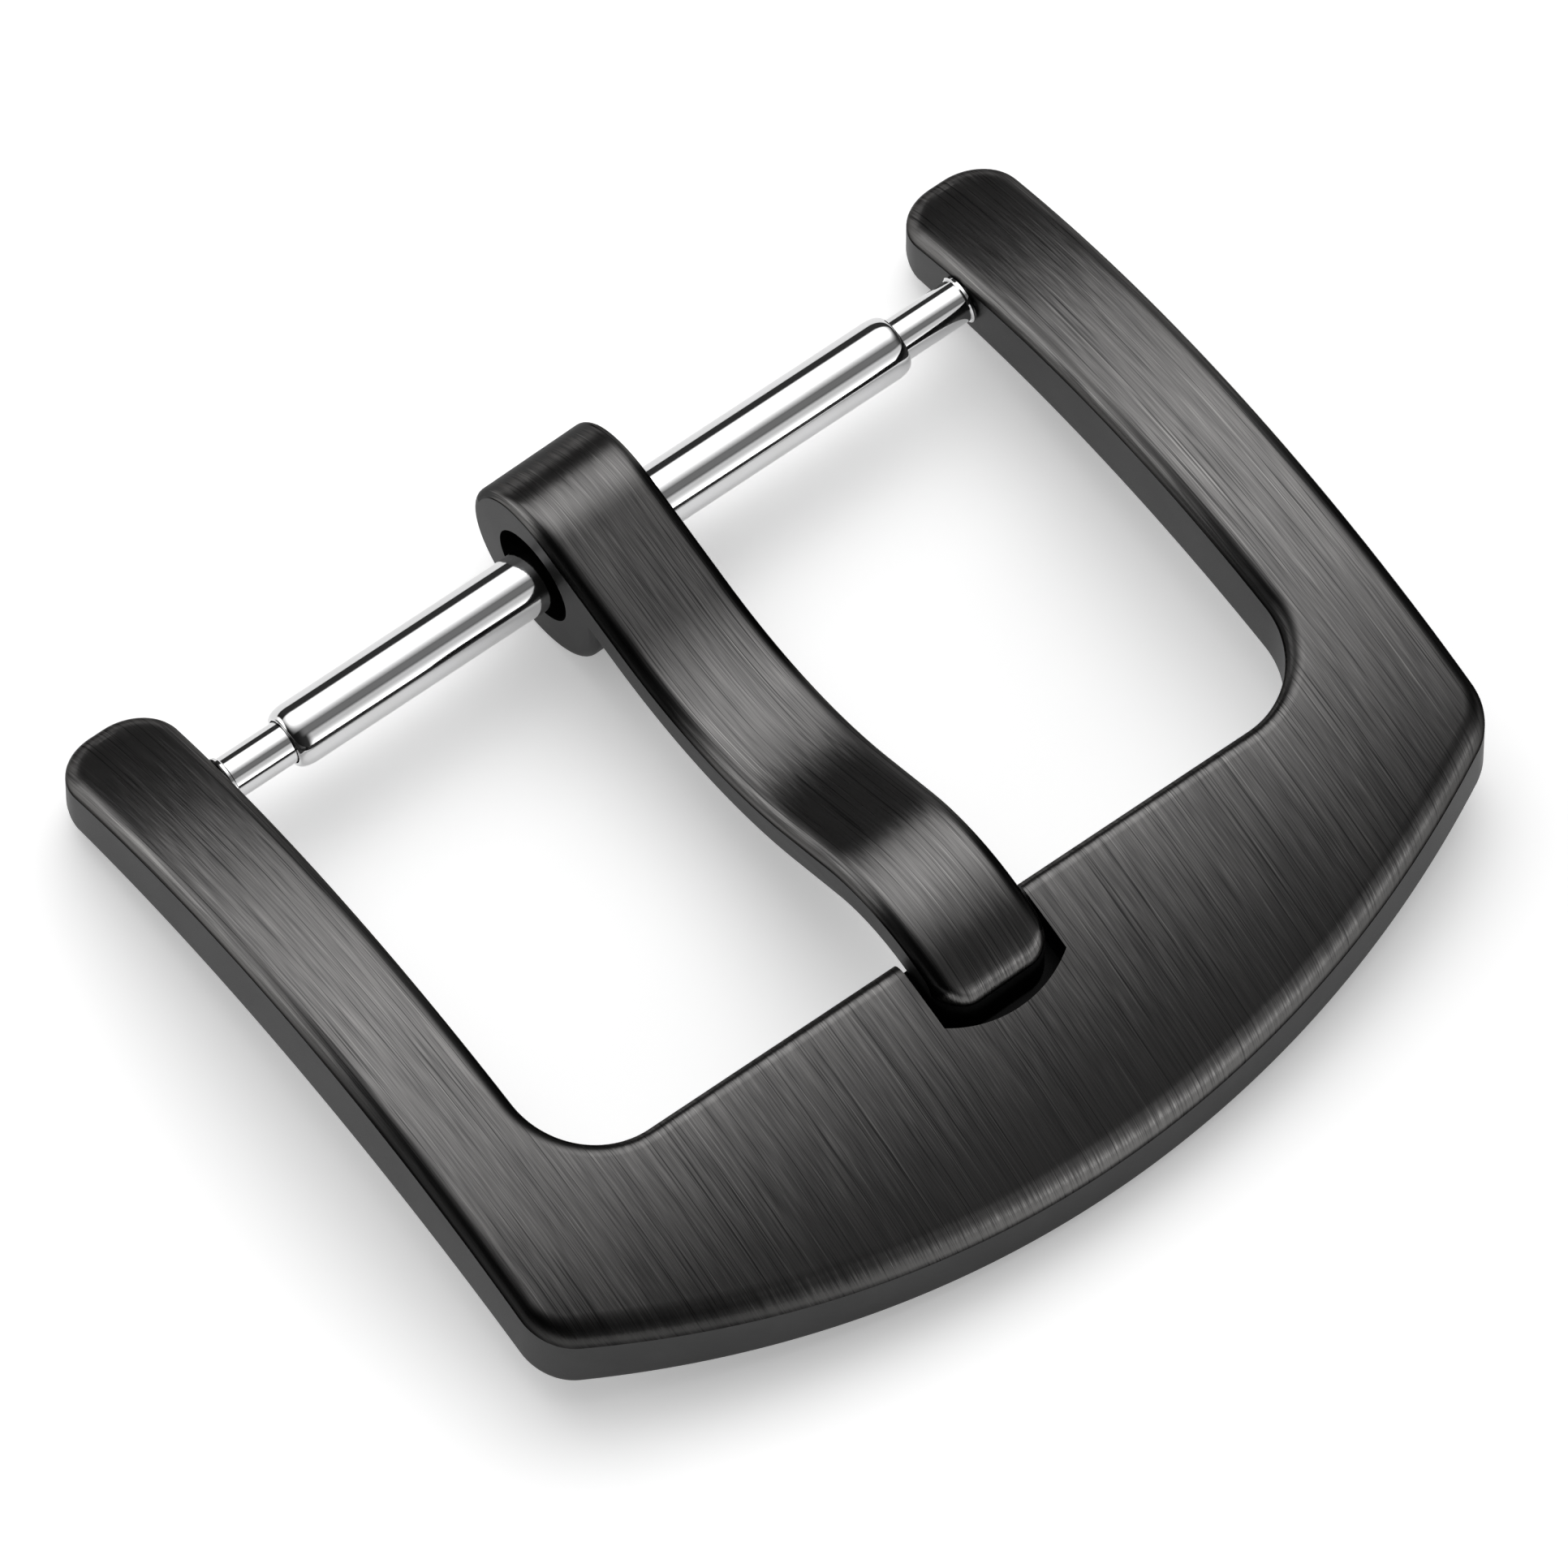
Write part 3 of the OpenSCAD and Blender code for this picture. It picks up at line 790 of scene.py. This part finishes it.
# Node trees
class Graph:
    """Short calls for building a node tree."""

    def __init__(self, tree):
        self.tree = tree
        tree.nodes.clear()

    def add(self, kind, **values):
        node = self.tree.nodes.new(kind)
        for key, value in values.items():
            setattr(node, key, value)
        return node

    def link(self, source, target):
        self.tree.links.new(source, target)

    def put(self, node, inputs):
        """Links the sockets among the inputs and sets the other values."""
        for key, value in inputs.items():
            if isinstance(value, bpy.types.NodeSocket):
                self.link(value, node.inputs[key])
            else:
                node.inputs[key].default_value = value
        return node

    def math(self, operation, a, b=0.0):
        node = self.add("ShaderNodeMath", operation=operation)
        return self.put(node, {0: a, 1: b}).outputs[0]

    def product(self, *factors):
        """The factors multiplied from left to right."""
        total = factors[0]
        for factor in factors[1:]:
            total = self.math("MULTIPLY", total, factor)
        return total

    def swing(self, value, width):
        """A noise value moved round 0 and made width wide."""
        return self.product(self.math("SUBTRACT", value, 0.5), width)

    def ramp(self, value, lo, hi, out_lo=0.0, out_hi=1.0, kind="SMOOTHSTEP"):
        node = self.add("ShaderNodeMapRange", interpolation_type=kind)
        self.put(node, {"Value": value, "From Min": lo, "From Max": hi,
                        "To Min": out_lo, "To Max": out_hi})
        return node.outputs["Result"]

    def line(self, value, *limits):
        """A ramp without easing."""
        return self.ramp(value, *limits, kind="LINEAR")

    def noise(self, vector, scale, detail=2.0, rough=0.5):
        node = self.add("ShaderNodeTexNoise")
        self.put(node, {"Vector": vector, "Scale": scale, "Detail": detail,
                        "Roughness": rough})
        return node.outputs["Fac"]

    def stretched(self, vector, stretch, detail, rough):
        """Noise drawn out along one way of a vector."""
        node = self.add("ShaderNodeMapping")
        self.put(node, {"Vector": vector, "Scale": stretch})
        return self.noise(node.outputs["Vector"], 1.0, detail, rough)

    def colours(self, fac, a, b):
        node = self.add("ShaderNodeMix", data_type="RGBA")
        for key, value in ((0, fac), (6, a), (7, b)):
            value = (*value, 1) if isinstance(value, tuple) else value
            self.put(node, {key: value})
        return node.outputs[2]

    def vector(self, operation, a, b=(0, 0, 0)):
        node = self.add("ShaderNodeVectorMath", operation=operation)
        return self.put(node, {0: a, 1: b}).outputs[0]

    def scaled(self, vector, factor):
        node = self.add("ShaderNodeVectorMath", operation="SCALE")
        return self.put(node, {0: vector, "Scale": factor}).outputs[0]

    def parts(self, vector):
        node = self.add("ShaderNodeSeparateXYZ")
        return self.put(node, {0: vector}).outputs

    def uv(self, name):
        return self.add("ShaderNodeUVMap", uv_map=name).outputs["UV"]

    def own_place(self):
        return self.add("ShaderNodeTexCoord").outputs["Object"]


# Places of the brushing in its noises, so frame and tongue differ
FRAME_SEED = 3.7
TONGUE_SEED = 41.3

# Tones of the black coating
TONE_LOW = (0.054, 0.053, 0.053)
TONE_HIGH = (0.118, 0.115, 0.113)
# painted glints on single streaks
TONE_GLINT = (0.22, 0.216, 0.21)
TONE_SCRATCH = (0.026, 0.026, 0.026)
# painted highlight on the roundings, where they catch the light
TONE_HIGHLIGHT = (0.18, 0.177, 0.172)
TONE_START = (0.058, 0.058, 0.058)
# painted shade on the roundings, also where they meet the walls
TONE_SHADE = (0.01, 0.01, 0.01)
SATIN_LEVEL = 0.058
# painted shade on the tongue's tip end face, which sits in the notch
TIP_SHADE_LEVEL = 0.035
# painted shade: satin made darker in the notch, the bores and the eye's hole
RECESS_SHADE_LEVEL = 0.012
BRUSHED_TINT = (0.3, 0.3, 0.3)
START_TINT = (0.45, 0.45, 0.45)
SATIN_TINT = (0.69, 0.69, 0.69)

# Brushing: stretch of each noise across and along, its detail and roughness
FINE = (13, 0.3, 1), 2.0, 1.0
WIDE = (2.5, 0.15, 1), 2.0, 0.6
SWAY = (23, 0.9, 2), 1.0, 1.0
GLINT = (31, 0.13, 3), 1.0, 0.6
SCRATCH = (27, 0.16, 4), 1.0, 0.6
FINE_SHARE, WIDE_SHARE = 0.8, 0.2
HIGHLIGHT_FRAY = 1.0            # how unevenly the painted highlight band starts
RAGGED = 1.6          # how unevenly the streaks start on the tongue
SWAY_LEAN = 0.14      # tilt of the normal along the streaks
FINE_ROLL = 0.25      # tilt of the normal across them
STREAK_ANISOTROPY = 0.6

# Brushing: ramps as (from, to), or with the two results as well
BODY_RAMP = 0.28, 0.72
GLINT_RAMP = 0.63, 0.71, 0.0, 0.4
SCRATCH_RAMP = 0.6, 0.66, 0.0, 0.78
# painted highlight band on the roundings
HIGHLIGHT_RAMP = 0.32, 0.75, 0.0, 0.5
HIGHLIGHT_END_RAMP = 0.9, 0.75
# painted shade on the roundings, rising from the face's edge
SHADE_RAMP = 0.02, 0.4, 0.0, 0.92
# painted shade where a rounding meets its wall
RIM_SHADE_RAMP = 0.8, 0.97, 0.0, 0.6
BRUSHED_ROUGH = 0.3, 0.7, 0.36, 0.26
START_RAMP = -0.15, 0.25
START_ROUGH = 0.0, 1.0, 0.15, 0.0

# Satin: noises by their scale per metre, with detail and roughness, and ramps
GRAIN = 90000.0, 2.0, 0.6
CLOUD_SCALE = 700.0
CLOUD_SWING = 0.05
CLOUD_RAMP = 0.35, 0.65
SATIN_ROUGH = 0.3, 0.7, 0.38, 0.48
GRAIN_BUMP = 0.12
GRAIN_DEPTH = 0.004

# Polished and drawn steel
POLISHED = 0.64
POLISHED_HAZE = 0.96  # share of it where hazy
POLISHED_BLUE = 1.01  # share of its blue elsewhere
TURNING = (30000, 600, 600), 2.0, 0.6
HAZE_SCALE = 900.0
HAZE_RAMP = 0.3, 0.7
POLISHED_ROUGH = 0.35, 0.75, 0.05, 0.1
WIRE_LOW = (0.46, 0.46, 0.47)
WIRE_HIGH = (0.6, 0.6, 0.61)
WIRE_SCALE = 12000.0
WIRE_ROUGH = 0.3, 0.7, 0.22, 0.34

# Floor sheet
SHEET_LOW = (0.93, 0.93, 0.93)
SHEET_HIGH = (0.94, 0.94, 0.94)
SHEET_SCALE = 30.0
SHEET_ROUGH = 0.9
SHEET_GLOW = 0.3
SHEET_HALF = 900.0
SHEET_DROP = 0.01


# Materials
def new_material(name):
    material = bpy.data.materials.new(name)
    material.use_nodes = True
    graph = Graph(material.node_tree)
    shader = graph.add("ShaderNodeBsdfPrincipled")
    out = graph.add("ShaderNodeOutputMaterial")
    graph.link(shader.outputs["BSDF"], out.inputs["Surface"])
    return material, graph, shader


def streaked(g, uv, fine):
    """Tone of the streaks, with painted glints on single streaks and dark scratches."""
    body = g.math("ADD", g.product(fine, FINE_SHARE),
                  g.product(g.stretched(uv, *WIDE), WIDE_SHARE))
    tone = g.colours(g.line(body, *BODY_RAMP), TONE_LOW, TONE_HIGH)
    # painted glints on single streaks
    glint = g.ramp(g.stretched(uv, *GLINT), *GLINT_RAMP)
    tone = g.colours(glint, tone, TONE_GLINT)
    scratch = g.ramp(g.stretched(uv, *SCRATCH), *SCRATCH_RAMP)
    return g.colours(scratch, tone, TONE_SCRATCH)


def edge_light_and_shade(g, tone, fine):
    """The tone with a painted highlight band and painted shade on the roundings."""
    edge, painted_shade = g.parts(g.uv("edge"))[:2]
    # painted highlight band on the roundings, starting unevenly
    frayed = g.math("ADD", edge, g.swing(fine, HIGHLIGHT_FRAY))
    painted_highlight = g.product(g.ramp(frayed, *HIGHLIGHT_RAMP), g.ramp(edge, *HIGHLIGHT_END_RAMP))
    tone = g.colours(painted_highlight, tone, TONE_HIGHLIGHT)
    # painted shade on the roundings where the face slopes to the front
    painted_shade = g.product(painted_shade, g.ramp(edge, *SHADE_RAMP))
    # painted shade where the rounding meets the wall
    rim_shade = g.ramp(edge, *RIM_SHADE_RAMP)
    return g.colours(g.math("MAXIMUM", painted_shade, rim_shade), tone, TONE_SHADE)


def scratched_normal(g, tangent, fine, sway, depth):
    """The normal, tilted a little from streak to streak."""
    normal = g.add("ShaderNodeNewGeometry").outputs["Normal"]
    down = g.vector("CROSS_PRODUCT", normal, tangent)
    lean = g.product(g.swing(sway, SWAY_LEAN), depth)
    roll = g.product(g.swing(fine, FINE_ROLL), depth)
    scratched = g.vector("ADD", g.scaled(down, lean), g.scaled(tangent, roll))
    return g.vector("NORMALIZE", g.vector("ADD", normal, scratched))


def brushed_black(name, seed, ragged=False):
    """Black coated steel brushed along V: fine streaks, broad highlight across.

    Where ragged, the streaks start at V = 0 and the steel is satin before it.
    """
    material, g, shader = new_material(name)
    shift = g.add("ShaderNodeMapping")
    g.put(shift, {"Vector": g.uv("brush"), "Location": (seed, seed, 0)})
    uv = shift.outputs["Vector"]
    fine, sway = g.stretched(uv, *FINE), g.stretched(uv, *SWAY)
    tone = edge_light_and_shade(g, streaked(g, uv, fine), fine)
    rough = g.line(fine, *BRUSHED_ROUGH)
    depth, tint = 1.0, (*BRUSHED_TINT, 1)
    if ragged:
        along = g.parts(g.uv("brush"))[1]
        depth = g.ramp(g.math("ADD", along, g.swing(fine, RAGGED)), *START_RAMP)
        tone = g.colours(depth, TONE_START, tone)
        tint = g.colours(depth, START_TINT, BRUSHED_TINT)
        rough = g.math("ADD", rough, g.line(depth, *START_ROUGH))
    tangent = g.add("ShaderNodeTangent", direction_type="UV_MAP", uv_map="brush")
    tangent = tangent.outputs[0]
    g.put(shader, {
        "Base Color": tone,
        "Metallic": 1.0,
        "Specular Tint": tint,
        "Roughness": rough,
        "Anisotropic": STREAK_ANISOTROPY,
        "Normal": scratched_normal(g, tangent, fine, sway, depth),
        "Tangent": tangent})
    return material


def satin_black(name, level):
    """Black coated steel with a fine matt grain."""
    material, g, shader = new_material(name)
    place = g.own_place()
    grit = g.noise(place, *GRAIN)
    cloud = g.ramp(g.noise(place, CLOUD_SCALE), *CLOUD_RAMP)
    low, high = (level * (1 - CLOUD_SWING),) * 3, (level * (1 + CLOUD_SWING),) * 3
    bump = g.add("ShaderNodeBump")
    g.put(bump, {"Height": grit, "Strength": GRAIN_BUMP, "Distance": GRAIN_DEPTH * MM})
    g.put(shader, {
        "Base Color": g.colours(cloud, low, high),
        "Metallic": 1.0,
        "Specular Tint": (*SATIN_TINT, 1),
        "Roughness": g.line(grit, *SATIN_ROUGH),
        "Normal": bump.outputs[0]})
    return material


def polished_steel(name):
    """Polished stainless steel with faint turning marks round the bar."""
    material, g, shader = new_material(name)
    place = g.own_place()
    haze = g.ramp(g.noise(place, HAZE_SCALE), *HAZE_RAMP)
    dull = (POLISHED * POLISHED_HAZE,) * 3
    bright = (POLISHED, POLISHED, POLISHED * POLISHED_BLUE)
    g.put(shader, {
        "Base Color": g.colours(haze, dull, bright),
        "Metallic": 1.0,
        "Roughness": g.line(g.stretched(place, *TURNING), *POLISHED_ROUGH)})
    return material


def spring_steel(name):
    """Drawn wire, greyer and duller than the polished bar."""
    material, g, shader = new_material(name)
    drawn = g.noise(g.own_place(), WIRE_SCALE)
    g.put(shader, {
        "Base Color": g.colours(drawn, WIRE_LOW, WIRE_HIGH),
        "Metallic": 1.0,
        "Roughness": g.line(drawn, *WIRE_ROUGH)})
    return material


def floor_white():
    """White sheet that takes the shadow, with a little glow of its own in view."""
    material, g, shader = new_material("floor_white")
    cloud = g.noise(g.own_place(), SHEET_SCALE)
    path = g.add("ShaderNodeLightPath").outputs
    seen = g.math("ADD", path["Is Camera Ray"], path["Is Glossy Ray"])
    seen = g.math("MINIMUM", g.math("ADD", seen, path["Is Transmission Ray"]), 1.0)
    g.put(shader, {
        "Base Color": g.colours(cloud, SHEET_LOW, SHEET_HIGH),
        "Roughness": SHEET_ROUGH,
        "Specular IOR Level": 0.0,
        "Emission Color": (1, 1, 1, 1),
        "Emission Strength": g.product(seen, SHEET_GLOW)})
    return material


# Sky. A direction's tilt is its angle in degrees from straight up towards +Y,
# and its x goes from -1 on the left to 1 on the right. A box fades in between
# the first two numbers of a band and out between the last two.
OVER_TILT = -22, -15, 51, 58
OVER_X = -0.8, 0.15, 0.5, 0.9
OVER_PEAK = 25
OVER_SPREAD = 10, 40, 21, 26    # the glow's spread at two tilts
OVER_LEVEL = 3.8
FRONT_TILT = -92, -88, -50, -40
FRONT_X = 0.0, 0.3, 0.7, 0.9
FRONT_LOW = -56, -88            # tilts between which it grows brighter
FRONT_GAIN = 4.6
SIDE_AXIS = Vector((-0.736, 0.663, 0.139)).normalized()
SIDE_REACH = 30, 16             # degrees from its axis to its fade's ends
SIDE_LEVEL = 3.6
GAP_TILT = -48, -36, -24, -14
GAP_X = -0.25, 0.15, 0.6, 0.9
GAP_LEVEL = 0.24
ROOM_RAMP = -0.6, 0.1, 0.015, 0.05
WALL_RAMP = 0.09, 0.05


def band(g, value, a, b, c, d):
    return g.product(g.ramp(value, a, b), g.ramp(value, d, c))


def tilt_band(g, tilt, edges):
    return band(g, tilt, *map(radians, edges))


def overhead_box(g, x, tilt):
    """Soft box overhead, brightest in its middle."""
    spread = g.line(tilt, *map(radians, OVER_SPREAD))
    off = g.math("DIVIDE", g.math("SUBTRACT", tilt, radians(OVER_PEAK)), spread)
    glow = g.math("EXPONENT", g.product(off, off, -0.5))
    return g.product(tilt_band(g, tilt, OVER_TILT), glow, band(g, x, *OVER_X),
                     OVER_LEVEL)


def front_box(g, x, tilt):
    """Box in front, right of the middle, brightest near the floor."""
    low = g.line(tilt, *map(radians, FRONT_LOW))
    low = g.math("ADD", g.product(low, low, FRONT_GAIN), 1.0)
    return g.product(band(g, x, *FRONT_X), tilt_band(g, tilt, FRONT_TILT), low)


def side_box(g, direction):
    """Low box behind on the left."""
    dot = g.add("ShaderNodeVectorMath", operation="DOT_PRODUCT")
    g.put(dot, {0: direction, 1: SIDE_AXIS})
    outer, inner = (cos(radians(a)) for a in SIDE_REACH)
    return g.product(g.ramp(dot.outputs["Value"], outer, inner), SIDE_LEVEL)


def room_gap(g, x, tilt):
    """Grey strip between the boxes."""
    return g.product(tilt_band(g, tilt, GAP_TILT), band(g, x, *GAP_X), GAP_LEVEL)


def wall_share(g, z):
    """Where a ray meets the pale wall behind everything.

    It is all that the camera sees of the sky, and a low strip of it shows in
    the metal.
    """
    path = g.add("ShaderNodeLightPath").outputs
    in_metal = g.product(path["Is Glossy Ray"], g.ramp(z, *WALL_RAMP))
    seen = g.math("ADD", path["Is Camera Ray"], path["Is Transmission Ray"])
    return g.math("MINIMUM", g.math("ADD", seen, in_metal), 1.0)


def studio_world():
    """Soft boxes as smooth patches of the sky, and weak light from the room."""
    world = bpy.data.worlds.new("studio")
    bpy.context.scene.world = world
    world.use_nodes = True
    g = Graph(world.node_tree)
    direction = g.add("ShaderNodeTexCoord").outputs["Generated"]
    x, y, z = g.parts(direction)
    tilt = g.math("ARCTAN2", y, z)
    light = overhead_box(g, x, tilt)
    for more in (front_box(g, x, tilt), side_box(g, direction), room_gap(g, x, tilt),
                 g.ramp(x, *ROOM_RAMP)):
        light = g.math("ADD", light, more)
    sky, wall = g.add("ShaderNodeBackground"), g.add("ShaderNodeBackground")
    g.put(sky, {"Strength": light})
    g.put(wall, {"Color": (1, 1, 1, 1), "Strength": 1.0})
    join = g.add("ShaderNodeMixShader")
    g.put(join, {0: wall_share(g, z), 1: sky.outputs[0], 2: wall.outputs[0]})
    out = g.add("ShaderNodeOutputWorld")
    g.link(join.outputs[0], out.inputs["Surface"])


def studio_floor():
    """Two by two square sheets just under the part."""
    lines = (-SHEET_HALF, 0.0, SHEET_HALF)
    verts = [(x, y, -SHEET_DROP) for y in lines for x in lines]
    faces = [(k, k + 1, k + 4, k + 3) for k in (0, 1, 3, 4)]
    new_piece("studio_floor", verts, faces, [floor_white()])


# Camera, solved from the outlines of frame, bar and tongue in the photo
CAMERA_TURN = radians(-36.71)
CAMERA_RISE = radians(62.275)
CAMERA_FROM_BAR = (-166.357, -230.097, 528.609)
LENS = 626.37
SENSOR_W = 36.0
CLIP_START = 0.01     # metres
CLIP_END = 100.0


def photo_camera():
    right = Vector((cos(CAMERA_TURN), sin(CAMERA_TURN), 0))
    back = Vector((sin(CAMERA_TURN) * cos(CAMERA_RISE),
                   -cos(CAMERA_TURN) * cos(CAMERA_RISE), sin(CAMERA_RISE)))
    up = back.cross(right)
    x, y, z = CAMERA_FROM_BAR
    place = Vector((x, BAR_Y + y, BAR_Z + z)) * MM
    data = bpy.data.cameras.new("photo_camera")
    data.sensor_fit = "HORIZONTAL"
    data.sensor_width = SENSOR_W
    data.lens = LENS
    data.clip_start = CLIP_START
    data.clip_end = CLIP_END
    camera = bpy.data.objects.new("photo_camera", data)
    camera.matrix_world = Matrix((
        (right.x, up.x, back.x, place.x),
        (right.y, up.y, back.y, place.y),
        (right.z, up.z, back.z, place.z),
        (0, 0, 0, 1)))
    bpy.context.scene.collection.objects.link(camera)
    bpy.context.scene.camera = camera


# Build
def dress(piece, body, node):
    """Puts a piece on its body in place of a node, and hides the node."""
    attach(piece, body)
    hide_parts(node)


satin = satin_black("satin_black", SATIN_LEVEL)
# Satin painted darker as shade in the recesses
recess_shade = satin_black("recess_painted_shade", RECESS_SHADE_LEVEL)
# Satin painted darker as shade on the tongue's tip end
tip = satin_black("tip_painted_shade", TIP_SHADE_LEVEL)
steel = polished_steel("polished_steel")
wire = spring_steel("spring_wire")

frame_top = brushed_black("frame_brushed", FRAME_SEED)
tongue_top = brushed_black("tongue_brushed", TONGUE_SEED, ragged=True)

dress(frame_piece([frame_top, satin, recess_shade]),
      "frame", "buckle_frame")
dress(tongue_piece([tongue_top, satin, recess_shade, tip]),
      "tongue", "tongue")
dress(tube_piece([steel]), "spring_bar", "spring_bar_tube")
for side, sign in (("left", -1), ("right", 1)):
    name = "plunger_" + side
    dress(plunger_piece(name + "_dressed", sign, [steel]),
          name, name)
for side, sign in (("left", -1), ("right", 1)):
    half = spring_half("spring_" + side + "_half", sign, [wire])
    dress(half, "spring_bar", "coil_spring")
    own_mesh(half)

studio_floor()
studio_world()
photo_camera()
bpy.context.scene.view_settings.view_transform = "Standard"
